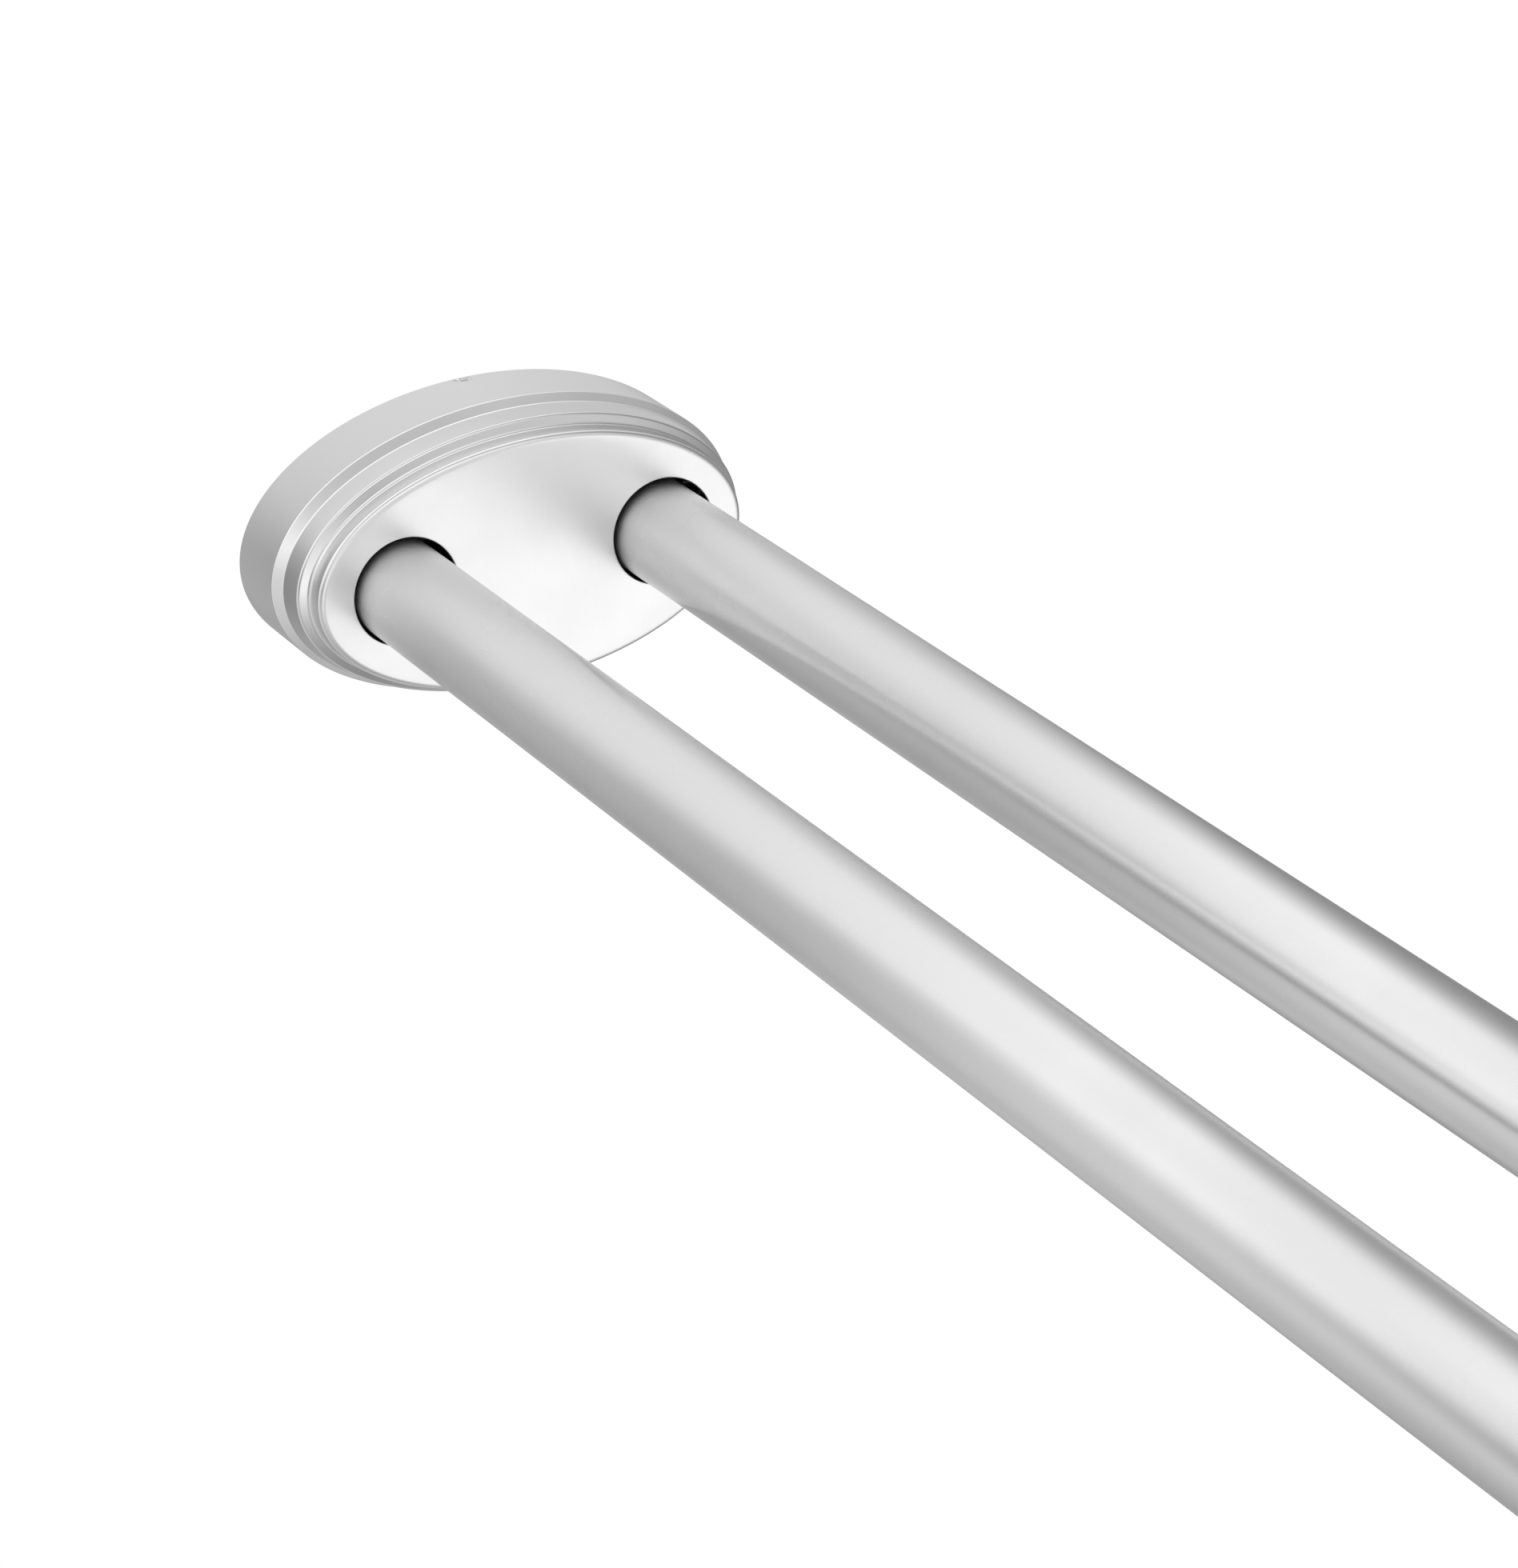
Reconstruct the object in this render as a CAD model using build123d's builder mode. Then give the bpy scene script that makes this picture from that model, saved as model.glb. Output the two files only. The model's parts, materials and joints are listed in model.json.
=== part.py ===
"""Straight double shower curtain rod: two telescoping rods between two oval stepped wall flanges.

Millimetres. X runs along the rods from the left wall to the right wall, Z is up, and -Y is the room side.
The origin is on the left wall, midway between the two rods.
"""

import os

from build123d import *

# Lengths from wall to wall: as drawn, pushed together and drawn out
rod_span = 1524.0
shortest_span = 1118.0
longest_span = 1829.0

# Rods
rod_spacing = 71.0
outer_tube_diameter = 25.4
inner_tube_diameter = 22.2
tube_wall = 0.8
collapsed_gap = 112.0
extended_overlap = 80.0

# Flange cover, drawn from sheet: rises run away from the wall, insets run in from the skirt
skirt_width = 127.2
skirt_height = 74.9
cover_sheet = 1.0
skirt_rise = 20.0
lower_shoulder_rise = 2.9
lower_shoulder_inset = 1.8
lower_band_rise = 6.8
lower_band_inset = 0.9
upper_shoulder_rise = 1.2
upper_shoulder_inset = 2.7
upper_band_rise = 6.1
face_edge_radius = 1.5
ring_edge_radius = 0.6
ring_root_radius = 0.4

# Holes in the cover's face, punched a little to the tub side of its centre
hole_clearance = 1.3
hole_shift = 0.6
hole_edge_radius = 0.3

# Dimple pressed into the top and the bottom of the skirt, to key the cover to the bracket
dimple_width = 4.5
dimple_length = 2.4
dimple_depth = 0.5
dimple_from_wall = 0.8
dimple_side_wall = 0.5

# Wall bracket: an oval pan with a socket for each rod
cover_fit = 0.3
pan_floor = 3.0
pan_rim_height = 9.0
pan_rim_wall = 2.0
socket_depth = 18.0
socket_wall = 2.6
socket_fit = 0.15
socket_lead_in = 0.8
rib_height = 5.0
rib_thickness = 3.0
notch_clearance = 0.4

# Wall screws
wall_screw_diameter = 4.2
wall_screw_neck_diameter = 3.6
wall_screw_head_diameter = 8.4
wall_screw_length = 38.0
wall_screw_tip = 5.0
wall_screw_land = 4.85
wall_screw_spacing_z = 38.0
wall_screw_clearance = 0.2
countersink_clearance = 0.05
countersink_angle = 90.0
cross_recess_width = 1.2
cross_recess_length = 4.8
cross_recess_depth = 1.6

# Set screws, one under each socket
set_screw_diameter = 5.0
set_screw_length = 6.0
set_screw_key = 2.5
set_screw_key_depth = 3.0
set_screw_tip_gap = 0.1
set_screw_from_floor = 11.0
set_screw_fit = 0.05
boss_wall = 2.2
boss_height = 3.0

# Guide bush at the mouth of each outer tube, and glide on the hidden end of each inner tube
press_gap = 0.05
slide_clearance = 0.25
guide_lip_width = 5.0
guide_lip_stand = 1.0
guide_lip_radius = 0.8
guide_sleeve_length = 22.0
glide_head_length = 14.0
glide_stem_length = 12.0
glide_bore = 12.0

# Places that follow from the sizes above
cover_depth = (
    skirt_rise + lower_shoulder_rise + lower_band_rise + upper_shoulder_rise + upper_band_rise
)
mid_span = Plane.YZ.offset(rod_span / 2)
curtain_y = -rod_spacing / 2
liner_y = rod_spacing / 2
outer_bore = outer_tube_diameter / 2 - tube_wall
inner_bore = inner_tube_diameter / 2 - tube_wall
outer_tube_end = shortest_span - cover_depth - collapsed_gap - guide_lip_width
inner_tube_length = longest_span - pan_floor - outer_tube_end + extended_overlap
inner_tube_end = rod_span - pan_floor
inner_tube_start = inner_tube_end - inner_tube_length
pan_half_width = skirt_width / 2 - cover_sheet - cover_fit
pan_half_height = skirt_height / 2 - cover_sheet - cover_fit
set_screw_x = pan_floor + set_screw_from_floor

# The cover's outer rings, each as a distance from the wall and an inset from the skirt
cover_rings = [(0.0, 0.0)]
for rise, inset in (
    (skirt_rise, 0.0),
    (lower_shoulder_rise, lower_shoulder_inset),
    (lower_band_rise, lower_band_inset),
    (upper_shoulder_rise, upper_shoulder_inset),
    (upper_band_rise, 0.0),
):
    cover_rings.append((cover_rings[-1][0] + rise, cover_rings[-1][1] + inset))


def make_cover(tube_diameter):
    """The left-hand cover: a stepped oval shell, open at the wall, with a hole for each rod."""
    with BuildPart() as cover:
        for (near, near_inset), (far, far_inset) in zip(cover_rings, cover_rings[1:]):
            with BuildSketch(Plane.YZ.offset(near)):
                Ellipse(skirt_width / 2 - near_inset, skirt_height / 2 - near_inset)
            with BuildSketch(Plane.YZ.offset(far)):
                Ellipse(skirt_width / 2 - far_inset, skirt_height / 2 - far_inset)
            loft(ruled=True)
        offset(amount=-cover_sheet, openings=cover.faces().sort_by(Axis.X)[0])

        # Round the steps from the face back to the skirt, each pass taking the foremost sharp oval
        for radius in (
            face_edge_radius,
            ring_root_radius,
            ring_edge_radius,
            ring_root_radius,
            ring_edge_radius,
        ):
            fillet(cover.edges().filter_by(GeomType.ELLIPSE).group_by(Axis.X)[-1], radius)

        with BuildSketch(Plane.YZ.offset(cover_depth)):
            with Locations((curtain_y + hole_shift, 0), (liner_y + hole_shift, 0)):
                Circle(tube_diameter / 2 + hole_clearance)
        extrude(amount=-2 * cover_sheet, mode=Mode.SUBTRACT)
        fillet(cover.edges().filter_by(GeomType.CIRCLE).group_by(Axis.X)[-1], hole_edge_radius)

        # Each dimple is a small block on the inside of the skirt, hollowed from the outside
        dimple_x = dimple_from_wall + dimple_length / 2
        inside = skirt_height / 2 - cover_sheet
        for turn in (0, 180):
            with Locations(Location((dimple_x, 0, 0), (turn, 0, 0))):
                with Locations((0, 0, inside - dimple_depth)):
                    Box(
                        dimple_length + 2 * dimple_side_wall,
                        dimple_width + 2 * dimple_side_wall,
                        dimple_depth + cover_sheet / 2,
                        align=(Align.CENTER, Align.CENTER, Align.MIN),
                    )
                with Locations((0, 0, skirt_height / 2 - dimple_depth)):
                    Box(
                        dimple_length,
                        dimple_width,
                        2 * dimple_depth,
                        align=(Align.CENTER, Align.CENTER, Align.MIN),
                        mode=Mode.SUBTRACT,
                    )
    return cover.part


def socket_outside(tube_diameter):
    """The outer radius of the socket that holds a tube."""
    return tube_diameter / 2 + socket_fit + socket_wall


def wall_screw_spacing_y(tube_diameter):
    """The screw heads stand between the two sockets, one land away from each."""
    from_rod = socket_outside(tube_diameter) + wall_screw_land + wall_screw_head_diameter / 2
    return rod_spacing - 2 * from_rod


def make_bracket(tube_diameter):
    """The left-hand bracket: a ribbed oval pan, two sockets, screw holes and two key notches."""
    socket_radius = socket_outside(tube_diameter)
    socket_bore = socket_radius - socket_wall
    with BuildPart() as bracket:
        with BuildSketch(Plane.YZ):
            Ellipse(pan_half_width, pan_half_height)
        extrude(amount=pan_rim_height)
        with BuildSketch(Plane.YZ.offset(pan_floor)):
            Ellipse(pan_half_width - pan_rim_wall, pan_half_height - pan_rim_wall)
        extrude(amount=pan_rim_height, mode=Mode.SUBTRACT)

        # Ribs tie the sockets to each other and to the rim
        with BuildSketch(Plane.YZ.offset(pan_floor)):
            Rectangle(2 * pan_half_width, rib_thickness)
            with Locations((curtain_y, 0), (liner_y, 0)):
                Rectangle(rib_thickness, 2 * pan_half_height)
            Ellipse(
                pan_half_width - pan_rim_wall / 2,
                pan_half_height - pan_rim_wall / 2,
                mode=Mode.INTERSECT,
            )
        extrude(amount=rib_height)

        # Sockets, with a boss under each for its set screw
        with BuildSketch(Plane.YZ.offset(pan_floor)):
            with Locations((curtain_y, 0), (liner_y, 0)):
                Circle(socket_radius)
        extrude(amount=socket_depth)
        with BuildSketch(Plane.XY.offset(-socket_radius - boss_height)):
            with Locations((set_screw_x, curtain_y), (set_screw_x, liner_y)):
                Circle(set_screw_diameter / 2 + boss_wall)
        extrude(amount=boss_height + socket_wall)
        with BuildSketch(Plane.YZ.offset(pan_floor)):
            with Locations((curtain_y, 0), (liner_y, 0)):
                Circle(socket_bore)
        extrude(amount=socket_depth, mode=Mode.SUBTRACT)
        mouths = bracket.edges().filter_by(GeomType.CIRCLE).group_by(Axis.X)[-1]
        chamfer(mouths.filter_by(lambda edge: edge.radius < socket_radius), socket_lead_in)
        with BuildSketch(Plane.XY.offset(-socket_radius - boss_height)):
            with Locations((set_screw_x, curtain_y), (set_screw_x, liner_y)):
                Circle(set_screw_diameter / 2 + set_screw_fit)
        extrude(amount=boss_height + 2 * socket_wall, mode=Mode.SUBTRACT)

        with Locations(Plane.YZ.offset(pan_floor)):
            with GridLocations(wall_screw_spacing_y(tube_diameter), wall_screw_spacing_z, 2, 2):
                CounterSinkHole(
                    wall_screw_diameter / 2 + wall_screw_clearance,
                    wall_screw_head_diameter / 2 + countersink_clearance,
                    counter_sink_angle=countersink_angle,
                )

        # Notches through the rim let the cover's dimples pass
        with BuildSketch(Plane.YZ):
            with Locations((0, pan_half_height), (0, -pan_half_height)):
                Rectangle(
                    dimple_width + 2 * (dimple_side_wall + notch_clearance),
                    2 * (dimple_depth + notch_clearance - cover_fit),
                )
        extrude(amount=pan_rim_height, mode=Mode.SUBTRACT)
    return bracket.part


def make_wall_screws(tube_diameter):
    """Four countersunk screws, their heads flush with the pan's floor and their threads in the wall."""
    head_radius = wall_screw_head_diameter / 2
    neck_radius = wall_screw_neck_diameter / 2
    thread_radius = wall_screw_diameter / 2
    point = pan_floor - wall_screw_length
    spacing_y = wall_screw_spacing_y(tube_diameter)
    with BuildPart() as screws:
        with GridLocations(spacing_y, wall_screw_spacing_z, 2, 2) as places:
            centres = [place.position for place in places.locations]
        for centre in centres:
            axis_line = Plane(origin=(0, centre.X, centre.Y), x_dir=(1, 0, 0), z_dir=(0, -1, 0))
            with BuildSketch(axis_line):
                with BuildLine():
                    Polyline(
                        (pan_floor, 0),
                        (pan_floor, head_radius),
                        (pan_floor - head_radius + neck_radius, neck_radius),
                        (0, neck_radius),
                        (neck_radius - thread_radius, thread_radius),
                        (point + wall_screw_tip, thread_radius),
                        (point, 0),
                        close=True,
                    )
                make_face()
            revolve(axis=Axis(axis_line.origin, (1, 0, 0)))
        with BuildSketch(Plane.YZ.offset(pan_floor)):
            with GridLocations(spacing_y, wall_screw_spacing_z, 2, 2):
                Rectangle(cross_recess_length, cross_recess_width)
                Rectangle(cross_recess_width, cross_recess_length)
        extrude(amount=-cross_recess_depth, mode=Mode.SUBTRACT)
    return screws.part


def make_set_screws(tube_diameter):
    """Two headless screws with a hexagon socket, each pointing up at a rod."""
    foot = -tube_diameter / 2 - set_screw_tip_gap - set_screw_length
    with BuildPart() as screws:
        with BuildSketch(Plane.XY.offset(foot)):
            with Locations((set_screw_x, curtain_y), (set_screw_x, liner_y)):
                Circle(set_screw_diameter / 2)
        extrude(amount=set_screw_length)
        with BuildSketch(Plane.XY.offset(foot)):
            with Locations((set_screw_x, curtain_y), (set_screw_x, liner_y)):
                RegularPolygon(set_screw_key / 2, 6, major_radius=False)
        extrude(amount=set_screw_key_depth, mode=Mode.SUBTRACT)
    return screws.part


def make_tube(start, end, diameter, y):
    """A thin round tube along X."""
    with BuildPart() as tube:
        with BuildSketch(Plane.YZ.offset(start)):
            with Locations((y, 0)):
                Circle(diameter / 2)
                Circle(diameter / 2 - tube_wall, mode=Mode.SUBTRACT)
        extrude(amount=end - start)
    return tube.part


def make_guide_bush(y):
    """A bush pressed into the mouth of an outer tube, with a rounded lip that covers the tube's edge."""
    running_bore = inner_tube_diameter / 2 + slide_clearance
    with BuildPart() as bush:
        with BuildSketch(Plane.YZ.offset(outer_tube_end - guide_sleeve_length)):
            with Locations((y, 0)):
                Circle(outer_bore - press_gap)
        extrude(amount=guide_sleeve_length)
        with BuildSketch(Plane.YZ.offset(outer_tube_end)):
            with Locations((y, 0)):
                Circle(outer_tube_diameter / 2 + guide_lip_stand)
        extrude(amount=guide_lip_width)
        fillet(bush.edges().filter_by(GeomType.CIRCLE).group_by(Axis.X)[-1], guide_lip_radius)
        with BuildSketch(Plane.YZ.offset(outer_tube_end - guide_sleeve_length)):
            with Locations((y, 0)):
                Circle(running_bore)
        extrude(amount=guide_sleeve_length + guide_lip_width, mode=Mode.SUBTRACT)
    return bush.part


def make_glide(y):
    """A glide plugged into the hidden end of an inner tube, running in the outer tube's bore."""
    with BuildPart() as glide:
        with BuildSketch(Plane.YZ.offset(inner_tube_start - glide_head_length)):
            with Locations((y, 0)):
                Circle(outer_bore - slide_clearance)
        extrude(amount=glide_head_length)
        with BuildSketch(Plane.YZ.offset(inner_tube_start)):
            with Locations((y, 0)):
                Circle(inner_bore - press_gap)
        extrude(amount=glide_stem_length)
        with BuildSketch(Plane.YZ.offset(inner_tube_start - glide_head_length)):
            with Locations((y, 0)):
                Circle(glide_bore / 2)
        extrude(amount=glide_head_length + glide_stem_length, mode=Mode.SUBTRACT)
    return glide.part


def on_right_wall(piece):
    """The same piece, mirrored from the left wall to the right wall."""
    with BuildPart() as mirrored:
        mirror(piece, about=mid_span)
    return mirrored.part


pieces = {
    "left_cover": make_cover(outer_tube_diameter),
    "left_bracket": make_bracket(outer_tube_diameter),
    "left_wall_screws": make_wall_screws(outer_tube_diameter),
    "left_set_screws": make_set_screws(outer_tube_diameter),
    "right_cover": on_right_wall(make_cover(inner_tube_diameter)),
    "right_bracket": on_right_wall(make_bracket(inner_tube_diameter)),
    "right_wall_screws": on_right_wall(make_wall_screws(inner_tube_diameter)),
    "right_set_screws": on_right_wall(make_set_screws(inner_tube_diameter)),
}
for rod, y in (("curtain", curtain_y), ("liner", liner_y)):
    pieces[f"{rod}_outer_tube"] = make_tube(pan_floor, outer_tube_end, outer_tube_diameter, y)
    pieces[f"{rod}_inner_tube"] = make_tube(inner_tube_start, inner_tube_end, inner_tube_diameter, y)
    pieces[f"{rod}_guide_bush"] = make_guide_bush(y)
    pieces[f"{rod}_inner_glide"] = make_glide(y)

os.makedirs("parts", exist_ok=True)
for name, piece in pieces.items():
    piece.label = name
    export_step(piece, f"parts/{name}.step")
    print(f"{name}: {len(piece.solids())} solid(s), {piece.volume:.0f} mm3")
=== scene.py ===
# %% [markdown]
# # A straight double shower curtain rod in satin nickel
#
# Two telescoping rods run side by side between two oval wall flanges. Each flange is a stepped cover,
# drawn from sheet metal, that hides a cast bracket and its screws. The CAD frame holds the sizes and
# the motion. This script gives the pieces their smooth surfaces and their finishes, and lights them
# as a product photographer would.

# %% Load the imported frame
import json
import math

import bmesh
import bpy
from mathutils import Matrix, Vector

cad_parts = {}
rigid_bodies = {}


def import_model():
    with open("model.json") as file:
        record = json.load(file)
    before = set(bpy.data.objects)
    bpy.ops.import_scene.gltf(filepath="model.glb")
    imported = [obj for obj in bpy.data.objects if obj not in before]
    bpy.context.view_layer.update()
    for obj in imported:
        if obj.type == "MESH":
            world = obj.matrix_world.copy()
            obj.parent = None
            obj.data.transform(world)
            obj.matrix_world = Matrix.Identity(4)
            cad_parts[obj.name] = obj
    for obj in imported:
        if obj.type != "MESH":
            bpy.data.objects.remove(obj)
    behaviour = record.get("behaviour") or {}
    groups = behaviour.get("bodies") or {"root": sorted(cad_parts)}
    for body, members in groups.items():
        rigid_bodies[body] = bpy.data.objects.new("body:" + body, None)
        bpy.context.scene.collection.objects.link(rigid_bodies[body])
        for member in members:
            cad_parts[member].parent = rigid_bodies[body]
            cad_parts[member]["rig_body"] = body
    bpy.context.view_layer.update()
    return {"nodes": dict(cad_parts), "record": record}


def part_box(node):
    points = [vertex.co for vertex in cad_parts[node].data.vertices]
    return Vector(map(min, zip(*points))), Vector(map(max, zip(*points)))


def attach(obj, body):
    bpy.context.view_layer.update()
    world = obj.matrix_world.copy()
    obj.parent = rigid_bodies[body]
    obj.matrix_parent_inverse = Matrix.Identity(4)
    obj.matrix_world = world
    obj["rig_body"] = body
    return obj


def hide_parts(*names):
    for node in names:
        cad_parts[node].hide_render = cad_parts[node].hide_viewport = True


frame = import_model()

MM = 0.001
mounts = {mount["name"]: mount for mount in frame["record"]["mounts"]}
left_end = Vector(mounts["left_wall"]["pos_m"])
right_end = Vector(mounts["right_wall"]["pos_m"])
rod_span = right_end.x - left_end.x
print(f"{len(frame['nodes'])} nodes, {rod_span:.3f} m from wall to wall")

# %% [markdown]
# ## The camera
#
# The camera stands on the room side, a little above the rods, and looks back along them at the left
# flange. Its place, roll and lens were found by matching the outlines of the rods and the flange's
# holes, so a long lens with no shift is enough.

# %% Place the camera
camera_eye = Vector((1.1251, -0.5036, 0.4787))
camera_aim = Vector((0.1855, -0.0172, 0.0))
camera_roll = math.radians(-2.63)
camera_lens = 119.36
camera_sensor = 36.0


def place_object(name, data):
    """Put a mesh, a lamp or a camera into the scene."""
    thing = bpy.data.objects.new(name, data)
    bpy.context.scene.collection.objects.link(thing)
    return thing


camera_data = bpy.data.cameras.new("room_side_camera")
camera_data.lens = camera_lens
camera_data.sensor_width = camera_sensor
camera = place_object("room_side_camera", camera_data)
sight_line = camera_aim - camera_eye
facing = sight_line.to_track_quat("-Z", "Y").to_matrix().to_4x4()
roll = Matrix.Rotation(camera_roll, 4, "Z")
camera.matrix_world = Matrix.Translation(camera_eye) @ facing @ roll
bpy.context.scene.camera = camera
bpy.context.scene.view_settings.view_transform = "Standard"
print(f"camera {sight_line.length:.2f} m from the rods, {camera_lens:.0f} mm lens")

# %% [markdown]
# ## Finishing a piece
#
# Every piece ends the same way: its mesh is merged, its faces are turned outwards and smoothed, and
# it is tied to the CAD body that it moves with. Where large flat faces meet small round ones, plain
# smooth shading bends the light on the flat ones. Weighted normals let the large faces decide.

# %% Helpers that finish a piece
SMOOTH_BELOW = math.radians(35)
SAME_POINT = 1e-7
FLAT_WEIGHT = 90


def mesh_of(name, shape):
    """Turn a bmesh into a mesh and let the bmesh go."""
    mesh = bpy.data.meshes.new(name)
    shape.to_mesh(mesh)
    shape.free()
    return mesh


def finish_piece(name, shape, node, slot, *materials):
    """Turn a bmesh into a smooth object that stands for a CAD node and rides on its body."""
    bmesh.ops.remove_doubles(shape, verts=shape.verts, dist=SAME_POINT)
    bmesh.ops.recalc_face_normals(shape, faces=shape.faces)
    mesh = mesh_of(name, shape)
    mesh.shade_smooth()
    mesh.set_sharp_from_angle(angle=SMOOTH_BELOW)
    for material in materials:
        mesh.materials.append(material)
    piece = place_object(name, mesh)
    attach(piece, frame["nodes"][node]["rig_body"])
    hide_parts(node)
    print(f"{name}: {len(mesh.polygons)} faces")
    return piece


def keep_flat(piece):
    """Let the large flat faces of a piece set the shading where they meet small round ones."""
    flat = piece.modifiers.new("flat_faces", "WEIGHTED_NORMAL")
    flat.keep_sharp = True
    flat.weight = FLAT_WEIGHT


print(f"edges under {math.degrees(SMOOTH_BELOW):.0f} degrees are shaded smoothly")

# %% [markdown]
# ## Brushed grain, shared by the finishes
#
# Satin metal is brushed with a fine abrasive, which leaves thousands of hair lines that run one way. A
# noise texture that is stretched along the lines gives them. A second, coarse noise gives the slow
# unevenness that a hand-held wheel leaves. Both are in one group, because every finish here uses them
# at its own scale.

# %% Make the grain group
grain_sockets = (
    ("Coordinates", "INPUT", "NodeSocketVector"),
    ("Line Density", "INPUT", "NodeSocketVector"),
    ("Cloud Density", "INPUT", "NodeSocketFloat"),
    ("Lines", "OUTPUT", "NodeSocketFloat"),
    ("Clouds", "OUTPUT", "NodeSocketFloat"),
)
line_noise = {"Scale": 1.0, "Detail": 3.0, "Roughness": 0.65}
cloud_noise = {"Detail": 2.0}


def add_node(tree, kind, inputs=None, **settings):
    """Add a node to a tree, and set its properties and the values of its inputs."""
    node = tree.nodes.new(kind)
    for name, value in settings.items():
        setattr(node, name, value)
    for name, value in (inputs or {}).items():
        node.inputs[name].default_value = value
    return node


grain_group = bpy.data.node_groups.new("brushed_grain", "ShaderNodeTree")
for socket, way, kind in grain_sockets:
    grain_group.interface.new_socket(socket, in_out=way, socket_type=kind)
grain_in = add_node(grain_group, "NodeGroupInput")
grain_out = add_node(grain_group, "NodeGroupOutput")
stretch = add_node(grain_group, "ShaderNodeVectorMath", operation="MULTIPLY")
line_texture = add_node(grain_group, "ShaderNodeTexNoise", line_noise)
cloud_texture = add_node(grain_group, "ShaderNodeTexNoise", cloud_noise)
grain_group.links.new(grain_in.outputs["Coordinates"], stretch.inputs[0])
grain_group.links.new(grain_in.outputs["Line Density"], stretch.inputs[1])
grain_group.links.new(stretch.outputs["Vector"], line_texture.inputs["Vector"])
grain_group.links.new(grain_in.outputs["Coordinates"], cloud_texture.inputs["Vector"])
grain_group.links.new(grain_in.outputs["Cloud Density"], cloud_texture.inputs["Scale"])
grain_group.links.new(line_texture.outputs["Fac"], grain_out.inputs["Lines"])
grain_group.links.new(cloud_texture.outputs["Fac"], grain_out.inputs["Clouds"])
print("group brushed_grain:", len(grain_group.nodes), "nodes")

# %% [markdown]
# ## The finishes
#
# A metal has no colour of its own light: it shows its surroundings, tinted and blurred. So each metal
# is a Principled shader at full Metallic, with a pale grey that the lines darken a little, a roughness
# that the clouds vary, and a very low bump from the lines. The moulded plastic has the same grain
# without the metal.

# %% Write the recipe of a grained finish
TONE_STOPS = (0.25, 0.75)
CLOUD_LOW, CLOUD_HIGH = 0.3, 0.7


def grey(level):
    """A neutral colour."""
    return (level, level, level)


def grained_finish(name, tones, roughness, lines, clouds, line_height, metallic=1.0):
    """A finish whose lines run between two tones and whose clouds run between two roughnesses."""
    material = bpy.data.materials.new(name)
    material.use_nodes = True
    tree = material.node_tree
    shader = tree.nodes["Principled BSDF"]
    shader.inputs["Metallic"].default_value = metallic
    place = add_node(tree, "ShaderNodeTexCoord")
    grain_scale = {"Line Density": lines, "Cloud Density": clouds}
    grain = add_node(tree, "ShaderNodeGroup", grain_scale, node_tree=grain_group)
    tone = add_node(tree, "ShaderNodeValToRGB")
    for element, stop, colour in zip(tone.color_ramp.elements, TONE_STOPS, tones):
        element.position = stop
        element.color = (*colour, 1.0)
    gloss_range = {
        "From Min": CLOUD_LOW,
        "From Max": CLOUD_HIGH,
        "To Min": roughness[0],
        "To Max": roughness[1],
    }
    gloss = add_node(tree, "ShaderNodeMapRange", gloss_range)
    bump = add_node(tree, "ShaderNodeBump", {"Distance": line_height})
    tree.links.new(place.outputs["Object"], grain.inputs["Coordinates"])
    tree.links.new(grain.outputs["Lines"], tone.inputs["Fac"])
    tree.links.new(grain.outputs["Clouds"], gloss.inputs["Value"])
    tree.links.new(grain.outputs["Lines"], bump.inputs["Height"])
    tree.links.new(tone.outputs["Color"], shader.inputs["Base Color"])
    tree.links.new(gloss.outputs["Result"], shader.inputs["Roughness"])
    tree.links.new(bump.outputs["Normal"], shader.inputs["Normal"])
    print("finish", name)
    return material


# %% [markdown]
# The rods and the cover's face are the brightest nickel. The cover's sides are polished smoother, so
# they reflect more sharply, and a little darker. The face is brushed upright, which shows as lines
# that are long in Z.

# %% Mix the nickel finishes
nickel_tones = (grey(0.92), grey(0.94))
rod_nickel = grained_finish(
    "rod_satin_nickel",
    tones=nickel_tones,
    roughness=(0.26, 0.29),
    lines=(5000, 260, 260),
    clouds=40.0,
    line_height=0.0003 * MM,
)
cover_nickel = grained_finish(
    "cover_satin_nickel",
    tones=(grey(0.82), grey(0.84)),
    roughness=(0.19, 0.22),
    lines=(2600, 2600, 2600),
    clouds=60.0,
    line_height=0.0006 * MM,
)
face_nickel = grained_finish(
    "cover_face_brushed_nickel",
    tones=nickel_tones,
    roughness=(0.31, 0.35),
    lines=(2200, 2200, 350),
    clouds=60.0,
    line_height=0.003 * MM,
)

# %% [markdown]
# A rod is brushed while it turns, so its hair lines run round it. Such lines spread a reflection along
# the rod and keep it narrow across. The shader's anisotropy does that, with a tangent that runs round
# the rod's axis and is turned by a quarter.

# %% Brush the rods round their axis
rod_spread = 0.8
quarter_turn = 0.25
rod_tree = rod_nickel.node_tree
rod_shader = rod_tree.nodes["Principled BSDF"]
rod_shader.inputs["Anisotropic"].default_value = rod_spread
rod_shader.inputs["Anisotropic Rotation"].default_value = quarter_turn
round_the_rod = add_node(rod_tree, "ShaderNodeTangent", direction_type="RADIAL", axis="X")
rod_tree.links.new(round_the_rod.outputs["Tangent"], rod_shader.inputs["Tangent"])
print("gloss spread along the rods:", rod_spread)
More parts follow.
